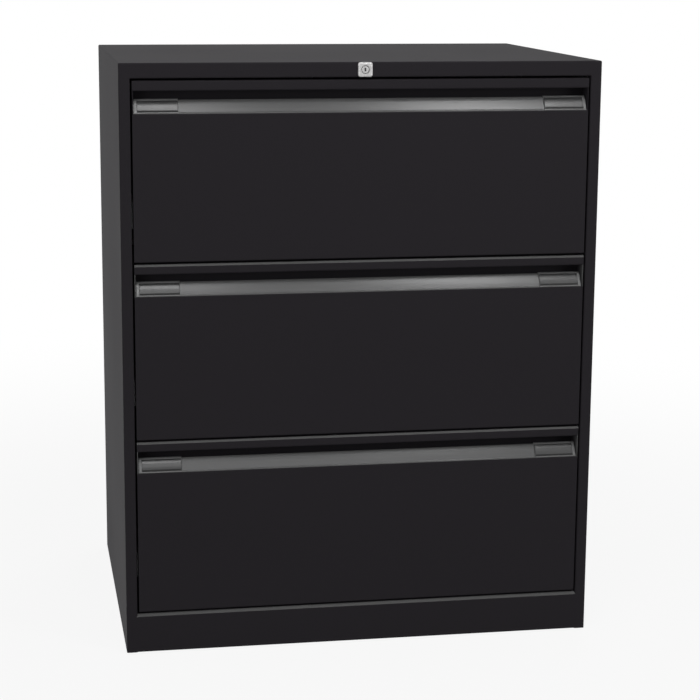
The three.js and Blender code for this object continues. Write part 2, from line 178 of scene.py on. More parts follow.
zincSizes = {"dark": grey(0.32, -0.004), "light": grey(0.5, -0.01), "roughness": 0.41, "metal": 0.7,
             "spangle": 70, "spangleShare": 0.45, "cloud": (12, 3), "cloudRough": 0.14}


def zincPlate(name, sizes):
    finish, graph = newFinish(name)
    spot = graph.coordinates()
    cells = graph.node("ShaderNodeTexVoronoi", {}, {"Vector": spot, "Scale": sizes["spangle"]}, "Distance")
    cloud = graph.noise(spot, *sizes["cloud"])
    mask = sizes["spangleShare"] * cells + (1 - sizes["spangleShare"]) * cloud
    graph.surface({"Base Color": graph.blend(mask, sizes["dark"], sizes["light"]),
                   "Roughness": sizes["roughness"] + swing(sizes["cloudRough"], cloud),
                   "Metallic": sizes["metal"]})
    return finish


plainSizes = {  # dark, light, roughness, scale of the specks, fixed sockets
    "lockNickel": (grey(0.44, 0.003), grey(0.52, 0.004), 0.35, 160, {"Metallic": 0.5}),
    "labelRim": (grey(0.085, -0.0005), grey(0.11, -0.0005), 0.32, 40, {"Coat Weight": 0.1}),
    "smokyWindow": (grey(0.022, -0.0004), grey(0.032, -0.0004), 0.26, 30, {"Coat Weight": 0.1}),
    # the black card is painted shade: only its strip below the label window shows, as the shadow in the gap
    "blackCardShade": (grey(0.01), grey(0.014), 0.55, 200, {"Specular IOR Level": 0.2}),
    "footNylon": (grey(0.011), grey(0.016), 0.5, 300, {"Specular IOR Level": 0.4}),
}


def plainFinish(name, dark, light, roughness, scale, fixed, detail=3, speckRough=0.08):
    finish, graph = newFinish(name)
    specks = graph.noise(graph.coordinates(), scale, detail)
    graph.surface({"Base Color": graph.blend(specks, dark, light),
                   "Roughness": roughness + swing(speckRough, specks), **fixed})
    return finish


plainFinishes = {name: plainFinish(name, *values) for name, values in plainSizes.items()}
finishes = {  # by material slot
    "black_coat": powderCoat("blackCoat", coatSizes),
    "pull_satin": satinMetal("pullSatin", satinSizes),
    "zinc_steel": zincPlate("zincSteel", zincSizes),
    "lock_nickel": plainFinishes["lockNickel"],
    "label_clear": plainFinishes["labelRim"],
    "foot_plastic": plainFinishes["footNylon"],
}
print("finishes ready")


def spread(start, end, steps):
    return [start + (end - start) * i / steps for i in range(steps + 1)]


# folded sheet: a path of fold points, the sheet on its right, each fold rounded
def offsetPath(points, distance):
    corners = [Vector(p) for p in points]
    rights = []
    for first, second in zip(corners, corners[1:]):
        along = (second - first).normalized()
        rights.append(Vector((along.y, -along.x)))
    moved = [corners[0] + rights[0] * distance]
    for corner, before, after in zip(corners[1:-1], rights, rights[1:]):
        moved.append(corner + (before + after) * (distance / (1 + before.dot(after))))
    moved.append(corners[-1] + rights[-1] * distance)
    return moved


def roundPath(corners, radii, steps):
    path = [corners[0]]
    for before, corner, after, radius in zip(corners, corners[1:], corners[2:], radii):
        back = (before - corner).normalized()
        ahead = (after - corner).normalized()
        half = back.angle(ahead) / 2
        centre = corner + (back + ahead).normalized() * (radius / math.sin(half))
        arm = corner + back * (radius / math.tan(half)) - centre
        turn = math.copysign(math.pi - 2 * half, -back.cross(ahead))
        path += [centre + Matrix.Rotation(angle, 2) @ arm for angle in spread(0, turn, steps)]
    path.append(corners[-1])
    return path


def sheetLoop(points, thickness, radii, steps=6):
    left = [Vector(p) for p in points]
    right = offsetPath(points, thickness)
    outer, inner = [], []
    for before, corner, after, radius in zip(left, left[1:], left[2:], radii):
        turnsLeft = (corner - before).cross(after - corner) > 0
        outer.append(radius - thickness / 2 if turnsLeft else radius + thickness / 2)
        inner.append(radius + thickness / 2 if turnsLeft else radius - thickness / 2)
    return roundPath(left, outer, steps) + roundPath(right, inner, steps)[::-1]


# a flat point put at a distance along one axis
def alongX(point, t):
    return Vector((t, point[0], point[1]))


def alongY(point, t):
    return Vector((point[0], t, point[1]))


def alongZ(point, t):
    return Vector((point[0], point[1], t))


def loft(bm, rings, hollow=False):  # a hollow loft ends where it began, without caps
    rows = [[bm.verts.new(point) for point in ring] for ring in rings]
    count = len(rows[0])
    if hollow:
        rows.append(rows[0])
    for low, high in zip(rows, rows[1:]):
        for i in range(count):
            j = (i + 1) % count
            bm.faces.new((low[i], low[j], high[j], high[i]))
    if not hollow:
        bm.faces.new(rows[0][::-1])
        bm.faces.new(rows[-1])


def prism(bm, loop, put, start, end):
    loft(bm, [[put(point, start) for point in loop], [put(point, end) for point in loop]])


def facing(angle):  # a unit step at this angle
    return Vector((math.cos(angle), math.sin(angle)))


def roundedOutline(width, height, radius, steps=6):
    points = []
    for corner, (x, y) in enumerate(((1, 1), (-1, 1), (-1, -1), (1, -1))):
        centre = Vector((x * (width / 2 - radius), y * (height / 2 - radius)))
        for quarters in spread(corner, corner + 1, steps):
            points.append(centre + radius * facing(quarters * math.pi / 2))
    return points


def circleLike(outline, radius):  # an even ring with the outline's number of points
    count = len(outline)
    return [radius * facing(2 * math.pi * (i + 0.5) / count) for i in range(count)]


def turned(bm, profile, put, centre, facets=40):
    ring = [facing(2 * math.pi * i / facets) for i in range(facets)]
    loft(bm, [[put(Vector(centre) + radius * p, t) for p in ring] for radius, t in profile])


def roundedBar(bm, low, high, put, corner, steps=3):  # low and high hold a flat point and its distance
    outline = roundedOutline(high[0] - low[0], high[1] - low[1], corner, steps)
    middle = Vector(((low[0] + high[0]) / 2, (low[1] + high[1]) / 2))
    prism(bm, [middle + point for point in outline], put, low[2], high[2])


def addObject(name, data):
    item = bpy.data.objects.new(name, data)
    bpy.context.scene.collection.objects.link(item)
    return item


def meshFrom(name, bm):
    mesh = bpy.data.meshes.new(name)
    bm.to_mesh(mesh)
    bm.free()
    return mesh


def settle(piece):  # modifiers become a plain mesh
    bpy.context.view_layer.update()
    depsgraph = bpy.context.evaluated_depsgraph_get()
    old = piece.data
    piece.data = bpy.data.meshes.new_from_object(piece.evaluated_get(depsgraph))
    piece.modifiers.clear()
    bpy.data.meshes.remove(old)
    piece.data.name = piece.name


def bored(bm, put, centre, radius, ends):  # the same shape with a round hole through it
    drill = bmesh.new()
    turned(drill, [(radius, end) for end in ends], put, centre)
    pair = []
    for shape in (bm, drill):
        bmesh.ops.recalc_face_normals(shape, faces=shape.faces)
        pair.append(addObject("bored", meshFrom("bored", shape)))
    hole = pair[0].modifiers.new("hole", "BOOLEAN")
    hole.object = pair[1]
    hole.solver = "EXACT"
    settle(pair[0])
    result = bmesh.new()
    result.from_mesh(pair[0].data)
    for item in pair:
        bpy.data.meshes.remove(item.data)  # its object goes with it
    return result


meshSizes = {"merge": 1e-7, "sharpFrom": 33, "bevelFrom": 50, "bevelSteps": 2}  # angles in degrees


def place(name, bm, finish, body, cadNodes, edge=0, paintedHighlight=()):
    bmesh.ops.remove_doubles(bm, verts=bm.verts, dist=meshSizes["merge"])
    bmesh.ops.dissolve_degenerate(bm, edges=bm.edges, dist=meshSizes["merge"])
    bmesh.ops.recalc_face_normals(bm, faces=bm.faces)
    mesh = meshFrom(name, bm)
    if paintedHighlight:  # the low and the high corner of the fold that gets the painted highlight, in Y and Z
        low, high = paintedHighlight
        highlightMask = mesh.attributes.new("paintedHighlight", "FLOAT", "POINT")
        for value, vertex in zip(highlightMask.data, mesh.vertices):
            inside = low[0] < vertex.co.y < high[0] and low[1] < vertex.co.z < high[1]
            value.value = 1.0 if inside else 0.0
    mesh.shade_smooth()
    mesh.set_sharp_from_angle(angle=math.radians(meshSizes["sharpFrom"]))
    mesh.materials.append(finish)
    piece = addObject(name, mesh)
    if edge:
        bevel = piece.modifiers.new("edge", "BEVEL")
        bevel.width = edge
        bevel.segments = meshSizes["bevelSteps"]
        bevel.limit_method = "ANGLE"
        bevel.angle_limit = math.radians(meshSizes["bevelFrom"])
    even = piece.modifiers.new("evenShading", "WEIGHTED_NORMAL")
    even.keep_sharp = True
    settle(piece)
    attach(piece, body)
    if cadNodes:
        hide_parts(*cadNodes)


black, zinc = finishes["black_coat"], finishes["zinc_steel"]
sheet = 1.2 * mm
drawers = (1, 2, 3)
sides = {"left": -1, "right": 1}
plinthLow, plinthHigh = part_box("plinth")
topLow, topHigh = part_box("top_panel")
lockLow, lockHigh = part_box("lock_housing")
lockCentre = Vector((0, (lockLow.z + lockHigh.z) / 2))
frontY, backY = plinthLow.y, topHigh.y
halfWidth, openHalf = topHigh.x, plinthHigh.x

# cabinet shell; the front frame is welded and dressed flush, so its pieces run into each other
shellSizes = {"bend": 2 * mm, "flangeLip": 16 * mm, "rearFlange": 20 * mm, "capDrop": 3.4 * mm,
              "roundSteps": 6, "leastCorner": 0.2 * mm, "fasciaReturn": 15 * mm, "lockHole": 9.3 * mm,
              "plinthReturn": 25 * mm, "chamferDeep": 4.2 * mm, "chamferTall": 4.8 * mm,
              "chamferBend": 1.2 * mm, "highlightMargin": 1 * mm}
outerBend = shellSizes["bend"] + sheet / 2
seamZ = topHigh.z - shellSizes["capDrop"]
frameHalf = openHalf + outerBend


def sidePanel(name, side, sizes):
    node = name + "_side_panel"
    plan = [(halfWidth - sizes["rearFlange"], backY), (halfWidth, backY), (halfWidth, frontY),
            (openHalf, frontY), (openHalf, frontY + sizes["flangeLip"])]
    loop = [Vector((side * p.x, p.y)) for p in sheetLoop(plan, sheet, [sizes["bend"]] * 3)]
    bm = bmesh.new()
    prism(bm, loop, alongZ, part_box(node)[0].z, seamZ)
    place(name + "_side", bm, black, "cabinet", [node])


def topCap(sizes):  # the fascia with its lock hole, and over it a shallow cap with rounded edges
    fold = [(frontY + sizes["fasciaReturn"], topLow.z), (frontY, topLow.z), (frontY, seamZ)]
    bm = bmesh.new()
    prism(bm, sheetLoop(fold, sheet, [sizes["bend"]]), alongX, -frameHalf, frameHalf)
    bm = bored(bm, alongY, lockCentre, sizes["lockHole"], (frontY - sheet, frontY + 2 * sheet))
    middle = Vector((0, (frontY + backY) / 2))

    def ring(inset, z):
        corner = max(outerBend - inset, sizes["leastCorner"])
        outline = roundedOutline(2 * (halfWidth - inset), backY - frontY - 2 * inset, corner)
        return [alongZ(middle + p, z) for p in outline]

    rings = [ring(sheet, topHigh.z - sheet), ring(sheet, seamZ), ring(0, seamZ)]
    for angle in spread(0, math.pi / 2, sizes["roundSteps"]):
        rings.append(ring(outerBend * (1 - math.cos(angle)), topHigh.z - outerBend * (1 - math.sin(angle))))
    loft(bm, rings)
    place("top_cap", bm, black, "cabinet", ["top_panel"])


def plinthSkin(sizes):
    chamferZ = plinthHigh.z - sizes["chamferTall"]
    chamferY = frontY + sizes["chamferDeep"]
    returnY = frontY + sizes["plinthReturn"]
    fold = [(returnY, plinthLow.z), (frontY, plinthLow.z), (frontY, chamferZ), (chamferY, plinthHigh.z),
            (returnY, plinthHigh.z)]
    bm = bmesh.new()
    loop = sheetLoop(fold, sheet, [sizes["bend"], sizes["chamferBend"], sizes["chamferBend"]])
    prism(bm, loop, alongX, -frameHalf, frameHalf)
    # the chamfered fold is painted lighter as a highlight, standing in for the light it catches
    margin = sizes["highlightMargin"]
    paintedHighlight = ((frontY - margin, chamferZ), (chamferY, plinthHigh.z + margin))
    place("plinth_skin", bm, black, "cabinet", ["plinth"], paintedHighlight=paintedHighlight)


# back: pressed beads that fade out before the side edges; flat is a bead too low to see
backSizes = {"beads": (0.12, 0.3, 0.5, 0.7, 0.88), "bead": 2.6 * mm, "flat": 0.004 * mm, "beadHalf": 6 * mm,
             "slope": 5 * mm, "bend": 3 * mm, "bendSteps": 3, "inset": 34 * mm, "taper": 9 * mm}


def beadedBack(sizes):
    low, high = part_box("back_panel")
    half = sizes["beadHalf"]
    foot = half + sizes["slope"]

    def section(rise):
        points = [(high.y, high.z)]
        for share in reversed(sizes["beads"]):
            z = low.z + share * (high.z - low.z)
            points += [(high.y, z + foot), (high.y + rise, z + half)]
            points += [(high.y + rise, z - half), (high.y, z - foot)]
        points.append((high.y, low.z))
        return sheetLoop(points, sheet, [sizes["bend"]] * (len(points) - 2), sizes["bendSteps"])

    flat, beaded = section(sizes["flat"]), section(sizes["bead"])
    end = high.x - sizes["inset"]
    inner = end - sizes["taper"]
    bm = bmesh.new()
    loft(bm, [[alongX(p, x) for p in loop] for loop, x in (
        (flat, low.x), (flat, -end), (beaded, -inner), (beaded, inner), (flat, end), (flat, high.x))])
    place("back_sheet", bm, black, "cabinet", ["back_panel"])


footSizes = {"pad": 18 * mm, "padHeight": 9 * mm, "toe": 1.5 * mm, "toeEase": 0.4 * mm, "shoulder": 2 * mm,
             "shoulderEase": 0.6 * mm, "cone": 6 * mm, "stud": 5 * mm, "nut": 9 * mm, "nutHeight": 8 * mm}


def levellingFoot(node, sizes):
    low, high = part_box(node)
    pad, stud, nut = sizes["pad"], sizes["stud"], sizes["nut"]
    toe, toeEase = sizes["toe"], sizes["toeEase"]
    shoulder, shoulderEase = sizes["shoulder"], sizes["shoulderEase"]
    padTop = low.z + sizes["padHeight"]
    coneTop = padTop + sizes["cone"]
    nutLow = high.z - sizes["nutHeight"]
    profile = [(pad - toe, low.z), (pad - toeEase, low.z + toeEase), (pad, low.z + toe),
               (pad, padTop - shoulder), (pad - shoulderEase, padTop - shoulderEase),
               (pad - shoulder, padTop),
               (nut, coneTop), (stud, coneTop), (stud, nutLow), (nut, nutLow), (nut, high.z)]
    bm = bmesh.new()
    turned(bm, profile, alongZ, ((low + high) / 2).xy)
    place(node + "_turned", bm, finishes["foot_plastic"], "cabinet", [node])


for name, side in sides.items():
    sidePanel(name, side, shellSizes)
topCap(shellSizes)
plinthSkin(shellSizes)
beadedBack(backSizes)
for end in ("front", "rear"):
    for name in sides:
        levellingFoot(f"{end}_{name}_foot", footSizes)
print("shell, back and feet made")

# drawer fronts: one folded sheet from the lower return, over the finger pocket, to the header's lip,
# with a plate in each end
frontSizes = {"return": 18 * mm, "pocket": 36 * mm, "header": 16.8 * mm, "lip": 7 * mm, "bend": 2 * mm,
              "sillBend": 1 * mm, "chamferDeep": 2.2 * mm, "chamferTall": 2.6 * mm, "chamferBend": 1.2 * mm,
              "plateInset": 0.25 * mm, "edge": 0.35 * mm, "highlightMargin": 0.9 * mm}


def drawerFront(number, sizes):
    low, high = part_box(f"drawer_front_{number}")
    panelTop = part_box(f"pull_strip_{number}")[0].z
    returnY = frontY + sizes["return"]
    pocketY = frontY + sizes["pocket"]
    lipZ = high.z - sizes["header"] + sheet
    bend = sizes["bend"]
    header, headerBends, paintedHighlight = [(0, 0)], [bend], ()  # the first header is a plain fold under the fascia
    if number > 1:
        # the lower headers' chamfered fold is painted lighter as a highlight, standing in for the light it
        # catches
        deep, tall, margin = sizes["chamferDeep"], sizes["chamferTall"], sizes["highlightMargin"]
        header = [(deep, 0), (0, -tall)]
        headerBends = [sizes["chamferBend"]] * 2
        paintedHighlight = ((frontY - margin, high.z - tall - margin), (frontY + deep + margin, high.z + margin))
    fold = [(returnY, low.z), (frontY, low.z), (frontY, panelTop), (pocketY, panelTop),
            (pocketY, high.z - sheet)]
    fold += [(frontY + sheet + y, high.z - sheet + z) for y, z in header]
    fold += [(frontY + sheet, lipZ), (frontY + sizes["lip"], lipZ)]
    radii = [bend, sizes["sillBend"], bend, bend] + headerBends + [bend]
    bm = bmesh.new()
    prism(bm, sheetLoop(fold, sheet, radii), alongX, low.x, high.x)
    half = sheet / 2
    plate = [(frontY + half, low.z + half), (returnY, low.z + half), (returnY, panelTop - half),
             (pocketY + half, panelTop - half), (pocketY + half, high.z - half)]
    plate += [(frontY + half + y, high.z - half + z) for y, z in header]
    for side in sides.values():
        end = side * (high.x - sizes["plateInset"])
        prism(bm, plate, alongX, end, end - side * sheet)
    place(f"front_panel_{number}", bm, black, f"drawer_{number}", [f"drawer_front_{number}"],
          sizes["edge"], paintedHighlight)


# pull strips: a crowned arc that leans back from a bead along its foot to a rolled edge;
# crown is half the arc's angle, in radians
stripSizes = {"lean": 13.6 * mm, "crown": 0.06, "wall": 2 * mm, "roll": 1.25 * mm, "bead": 0.45 * mm,
              "beadWide": 3 * mm, "beadSteps": 8, "frontSteps": 32, "rollSteps": 12, "rearSteps": 20}


# unit steps out of the strip's face and up along it, where it leans back by an angle
def outward(angle):
    return Vector((-math.cos(angle), math.sin(angle)))


def upward(angle):
    return Vector((math.sin(angle), math.cos(angle)))


def stripArc(number):  # the arc's centre and radius, and the angles at its foot and at its edge
    low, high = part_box(f"pull_strip_{number}")
    foot = Vector((low.y, low.z))
    chord = Vector((stripSizes["lean"], high.z - low.z))
    tilt, crown = math.atan2(chord.x, chord.y), stripSizes["crown"]
    radius = chord.length / (2 * math.sin(crown))
    centre = foot - radius * outward(tilt - crown)
    return centre, radius, tilt - crown, tilt + crown


def arc(centre, radius, angles):
    return [centre + radius * outward(angle) for angle in angles]


def rolled(tip, radius, edge, turns):  # round the strip's edge, where no turn is on its face
    across, along = outward(edge), upward(edge)
    return [tip + radius * (math.cos(turn) * across + math.sin(turn) * along) for turn in turns]


def pullStrip(number, sizes):
    low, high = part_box(f"pull_strip_{number}")
    centre, radius, foot, edge = stripArc(number)
    wall = sizes["wall"]
    beadEnd = foot + sizes["beadWide"] / radius
    loop = []
    for angle in spread(foot, beadEnd, sizes["beadSteps"])[:-1]:
        swell = sizes["bead"] * math.sin(math.pi * (angle - foot) / (beadEnd - foot))
        loop.append(centre + (radius + swell) * outward(angle))
    loop += arc(centre, radius, spread(beadEnd, edge, sizes["frontSteps"]))
    tip = centre + (radius - wall / 2) * outward(edge)
    loop += rolled(tip, sizes["roll"], edge, spread(0, math.pi, sizes["rollSteps"]))
    rearFoot = math.asin((low.z + wall - centre.y) / (radius - wall))
    loop += arc(centre, radius - wall, spread(edge, rearFoot, sizes["rearSteps"]))
    loop += [Vector((high.y, low.z + wall)), Vector((high.y, low.z))]
    bm = bmesh.new()
    prism(bm, loop, alongX, low.x, high.x)
    place(f"pull_{number}", bm, finishes["pull_satin"], f"drawer_{number}", [f"pull_strip_{number}"])


# label holders: a rim that follows the strip and rolls over its edge, a black card whose strip below the
# window is painted shade for the gap there, a bulging smoky window
labelSizes = {"clearance": 0.3 * mm, "wall": 1.6 * mm, "sink": 0.8 * mm, "outerRim": 4.6 * mm,
              "innerRim": 0.5 * mm, "lowerRim": 1.8 * mm, "upperRim": 1.6 * mm, "rimEdge": 0.25 * mm,
              "card": 0.15 * mm, "cardInset": 0.05 * mm, "cardShownAsShade": 3.2 * mm, "window": 0.45 * mm,
              "windowLift": 0.2 * mm, "windowInset": 0.4 * mm, "windowTop": 0.3 * mm, "bulge": 0.7 * mm,
              "windowEdge": 0.15 * mm, "rimSteps": 3, "rollSteps": 10, "rearSteps": 12, "windowSteps": 20}


def labelHolder(number, name, side, sizes):
    node = f"label_holder_{name}_{number}"
    body = f"drawer_{number}"
    low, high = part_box(node)
    centre, radius, _, edge = stripArc(number)
    inner = radius + sizes["clearance"]
    outer = inner + sizes["wall"]
    lowest = math.asin((low.z - centre.y) / outer)
    windowLow = lowest + sizes["lowerRim"] / outer
    windowHigh = edge - sizes["upperRim"] / outer
    tip = centre + (radius - stripSizes["wall"] / 2) * outward(edge)
    hook = outer - radius + stripSizes["wall"] / 2

    def rim(sink):
        loop = arc(centre, outer, spread(lowest, windowLow, sizes["rimSteps"]))
        loop += arc(centre, outer - sink, spread(windowLow, windowHigh, sizes["windowSteps"]))
        loop += arc(centre, outer, spread(windowHigh, edge, sizes["rimSteps"]))
        loop += rolled(tip, hook, edge, spread(0, math.pi, sizes["rollSteps"])[1:])
        loop += rolled(tip, hook - sizes["wall"], edge, spread(math.pi, 0, sizes["rollSteps"]))
        return loop + arc(centre, inner, spread(edge, lowest, sizes["rearSteps"])[1:])

    plain, sunk = rim(0), rim(sizes["sink"])
    outerEnd, innerEnd = (low.x, high.x) if side < 0 else (high.x, low.x)
    first = outerEnd - side * sizes["outerRim"]
    last = innerEnd + side * sizes["innerRim"]
    bm = bmesh.new()
    loft(bm, [[alongX(p, x) for p in loop] for loop, x in (
        (plain, outerEnd), (plain, first), (sunk, first), (sunk, last), (plain, last), (plain, innerEnd))])
    place(f"label_rim_{name}_{number}", bm, finishes["label_clear"], body, [node],
          sizes["rimEdge"])

    def arcSheet(start, end, base, thickness, inset, bulge=0):
        loop = []
        for angle in spread(start, end, sizes["windowSteps"]):
            swell = bulge * math.sin(math.pi * (angle - start) / (end - start))
            loop.append(centre + (base + thickness + swell) * outward(angle))
        loop += arc(centre, base, spread(end, start, sizes["windowSteps"]))
        bm = bmesh.new()
        prism(bm, loop, alongX, first - side * inset, last + side * inset)
        return bm

    floor = outer - sizes["sink"]
    # the black card shows only below the window, as a painted shade line standing in for the shadow in the
    # gap
    card = arcSheet(windowLow, windowHigh, floor, sizes["card"], sizes["cardInset"])
    place(f"label_shade_card_{name}_{number}", card, plainFinishes["blackCardShade"], body, [])
    window = arcSheet(windowLow + sizes["cardShownAsShade"] / outer, windowHigh - sizes["windowTop"] / outer,
                      floor + sizes["windowLift"], sizes["window"], sizes["windowInset"], sizes["bulge"])
    place(f"label_window_{name}_{number}", window, plainFinishes["smokyWindow"], body, [],
          sizes["windowEdge"])


# trays: pressed boxes with a hemmed rim and round bends
traySizes = {"bend": 3 * mm, "hem": 6 * mm, "hemDrop": 4 * mm, "rim": 1 * mm, "rimEase": 0.3 * mm,
             "cornerShare": 0.8, "steps": 4}


def drawerTray(number, sizes):
    low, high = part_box(f"drawer_tray_{number}")
    middle = ((low + high) / 2).xy
    bend, hem, rim, ease = sizes["bend"], sizes["hem"], sizes["rim"], sizes["rimEase"]
    hemZ = high.z - sizes["hemDrop"]

    def ring(inset, z, corner=bend):
        width, depth = high.x - low.x - 2 * inset, high.y - low.y - 2 * inset
        return [alongZ(middle + p, z) for p in roundedOutline(width, depth, corner, sizes["steps"])]

    rings = []
    for angle in spread(0, math.pi / 2, sizes["steps"]):  # up the outer bend
        inset = bend * (1 - math.sin(angle))
        rings.append(ring(inset, low.z + bend * (1 - math.cos(angle)), bend - sizes["cornerShare"] * inset))
    rings += [ring(0, high.z - rim), ring(ease, high.z - ease), ring(rim, high.z)]
    rings += [ring(hem - rim, high.z), ring(hem, high.z - rim), ring(hem, hemZ), ring(hem - sheet, hemZ)]
    rings += [ring(hem - sheet, high.z - sheet), ring(sheet, high.z - sheet)]
    innerBend, innerCorner = bend - sheet, bend - sizes["cornerShare"] * sheet
    for angle in spread(math.pi / 2, 0, sizes["steps"]):  # down the inner bend
        inset = sheet + innerBend * (1 - math.sin(angle))
        rings.append(ring(inset, low.z + sheet + innerBend * (1 - math.cos(angle)), innerCorner))
    bm = bmesh.new()
    loft(bm, rings)
    nodes = [f"drawer_tray_{number}", f"tray_floor_{number}"]
    place(f"tray_{number}", bm, black, f"drawer_{number}", nodes)


# filing frames: two round-edged cross bars and four hanging rails
filingSizes = {"bar": 10 * mm, "barCorner": 1.6 * mm, "rail": 3 * mm, "railCorner": 1.4 * mm,
               "railDrop": 11 * mm, "inset": 25 * mm, "rowGap": 44 * mm}


def filingFrame(number, sizes):
    low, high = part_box(f"filing_frame_{number}")
    bar, rail = sizes["bar"], sizes["rail"]
    bm = bmesh.new()
    for y in (low.y, high.y - bar):
        roundedBar(bm, (y, low.z, low.x), (y + bar, low.z + bar, high.x), alongX, sizes["barCorner"])
    outer, inner = high.x - sizes["inset"], sizes["rowGap"] / 2
    railLow = high.z - sizes["railDrop"]
    start, end = low.y + bar / 2, high.y - bar / 2
    for x in (-outer, -inner - rail, inner, outer - rail):
        roundedBar(bm, (x, railLow, start), (x + rail, high.z, end), alongY, sizes["railCorner"])
    place(f"hanging_rails_{number}", bm, zinc, f"drawer_{number}", [f"filing_frame_{number}"])


# telescopic slides: three rolled channels to a side
slideSizes = {"bend": 2.2 * mm, "steel": 1.2 * mm, "edge": 0.2 * mm}


def slideMember(number, member, name, side, sizes):
    node = f"slide_{member}_{name}_{number}"
    low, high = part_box(node)
    web, lips = (high.x, low.x) if (side > 0) == (member != "inner") else (low.x, high.x)
    path = [(lips, high.z), (web, high.z), (web, low.z), (lips, low.z)]
    if web < lips:
        path.reverse()
    bm = bmesh.new()
    prism(bm, sheetLoop(path, sizes["steel"], [sizes["bend"]] * 2), alongY, low.y, high.y)
    body = {"outer": "cabinet", "middle": f"slides_{number}", "inner": f"drawer_{number}"}[member]
    place(f"{member}_slide_{name}_{number}", bm, zinc, body, [node], sizes["edge"])


for number in drawers:
    drawerFront(number, frontSizes)
    pullStrip(number, stripSizes)
    drawerTray(number, traySizes)
    filingFrame(number, filingSizes)
    for name, side in sides.items():
        labelHolder(number, name, side, labelSizes)
        for member in ("outer", "middle", "inner"):
            slideMember(number, member, name, side, slideSizes)
    print("drawer", number, "made")

# lock: a square bezel with a round recess, and a plug with its key slot
bezelSizes = {"width": 25 * mm, "height": 24.5 * mm, "corner": 4 * mm, "leastCorner": 0.5 * mm,
              "edge": 2.6 * mm, "roundSteps": 6, "cornerSteps": 9, "dish": 7.6 * mm, "dishTaper": 0.5 * mm,
              "dishDepth": 1.4 * mm, "bore": 6.8 * mm, "barrel": 9 * mm}
plugSizes = {"radius": 6.1 * mm, "sunk": 1.2 * mm, "edge": 0.6 * mm, "edgeEase": 0.2 * mm,
             "slotWidth": 3.2 * mm, "slotHeight": 6 * mm, "slotCorner": 0.9 * mm, "slotDepth": 10 * mm,
             "cornerSteps": 9}


def lockRing(points, y):
    return [alongY(lockCentre + p, y) for p in points]


def lockBezel(sizes):
    edge = sizes["edge"]
    faceY = lockLow.y
    dishY = faceY + sizes["dishDepth"]

    def square(inset):
        corner = max(sizes["corner"] - inset, sizes["leastCorner"])
        width, height = sizes["width"] - 2 * inset, sizes["height"] - 2 * inset
        return roundedOutline(width, height, corner, sizes["cornerSteps"])

    def circle(radius):
        return circleLike(square(0), radius)

    rings = [lockRing(circle(sizes["barrel"]), lockHigh.y), lockRing(circle(sizes["barrel"]), frontY),
             lockRing(square(0), frontY)]
    for angle in spread(0, math.pi / 2, sizes["roundSteps"]):
        rings.append(lockRing(square(edge * (1 - math.cos(angle))), faceY + edge * (1 - math.sin(angle))))
    rings += [lockRing(circle(sizes["dish"]), faceY),
              lockRing(circle(sizes["dish"] - sizes["dishTaper"]), dishY),
              lockRing(circle(sizes["bore"]), dishY), lockRing(circle(sizes["bore"]), lockHigh.y)]
    bm = bmesh.new()
    loft(bm, rings, hollow=True)
    place("lock_bezel", bm, finishes["lock_nickel"], "cabinet", ["lock_housing"])


def lockPlug(sizes):
    low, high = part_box("lock_plug")
    radius, edge, ease = sizes["radius"], sizes["edge"], sizes["edgeEase"]
    faceY = low.y + sizes["sunk"]
    width, height, corner = sizes["slotWidth"], sizes["slotHeight"], sizes["slotCorner"]
    slot = roundedOutline(width, height, corner, sizes["cornerSteps"])
    profile = [(radius, high.y), (radius, faceY + edge), (radius - ease, faceY + ease),
               (radius - edge, faceY)]
    rings = [lockRing(circleLike(slot, reach), y) for reach, y in profile]
    rings += [lockRing(slot, faceY), lockRing(slot, faceY + sizes["slotDepth"])]
    bm = bmesh.new()
    loft(bm, rings)
    place("lock_core_plug", bm, finishes["lock_nickel"], "lock_core", ["lock_plug"])


lockBezel(bezelSizes)
lockPlug(plugSizes)
print("lock made")

# rivet heads on rows of points: a squashed dome at each point, turned to its sheet
rivetSizes = {"radius": 3.2 * mm, "height": 1 * mm, "segments": 14, "rings": 7,
              "sideInset": 28 * mm, "sideLow": 40 * mm, "sideHigh": 30 * mm, "sideSteps": 6,
              "endHalf": 300 * mm, "endLow": 14 * mm, "endHigh": 12 * mm, "endSteps": 5,
              "slideRadius": 3.6 * mm, "slideInset": 30 * mm, "slideSteps": 5}


def rivetTree(sizes):
    tree = bpy.data.node_groups.new("rivetHeads", "GeometryNodeTree")
    for label, kind in (("Points", "NodeSocketGeometry"), ("Radius", "NodeSocketFloat"),
                        ("Height", "NodeSocketFloat"), ("Turn", "NodeSocketVector"),
                        ("Finish", "NodeSocketMaterial")):
        tree.interface.new_socket(label, in_out="INPUT", socket_type=kind)
    tree.interface.new_socket("Heads", in_out="OUTPUT", socket_type="NodeSocketGeometry")
    graph = Graph(tree)
    points = graph.node("NodeGroupInput", {}, {}, "Points")
    radius = points.out("Radius")
    ball = graph.node("GeometryNodeMeshUVSphere", {},
                      {"Segments": sizes["segments"], "Rings": sizes["rings"], "Radius": 1}, "Mesh")
    smooth = graph.node("GeometryNodeSetShadeSmooth", {}, {"Geometry": ball})
    scale = graph.node("ShaderNodeCombineXYZ", {}, {"X": radius, "Y": radius, "Z": points.out("Height")})
    dome = graph.node("GeometryNodeTransform", {}, {"Geometry": smooth, "Scale": scale})
    turn = graph.node("FunctionNodeEulerToRotation", {}, {"Euler": points.out("Turn")})
    heads = graph.node("GeometryNodeInstanceOnPoints", {},
                       {"Points": points, "Instance": dome, "Rotation": turn})
    real = graph.node("GeometryNodeRealizeInstances", {}, {"Geometry": heads})
    finish = points.out("Finish")
    painted = graph.node("GeometryNodeSetMaterial", {}, {"Geometry": real, "Material": finish})
    graph.node("NodeGroupOutput", {}, {"Heads": painted})
    return tree


rivetHeads = rivetTree(rivetSizes)


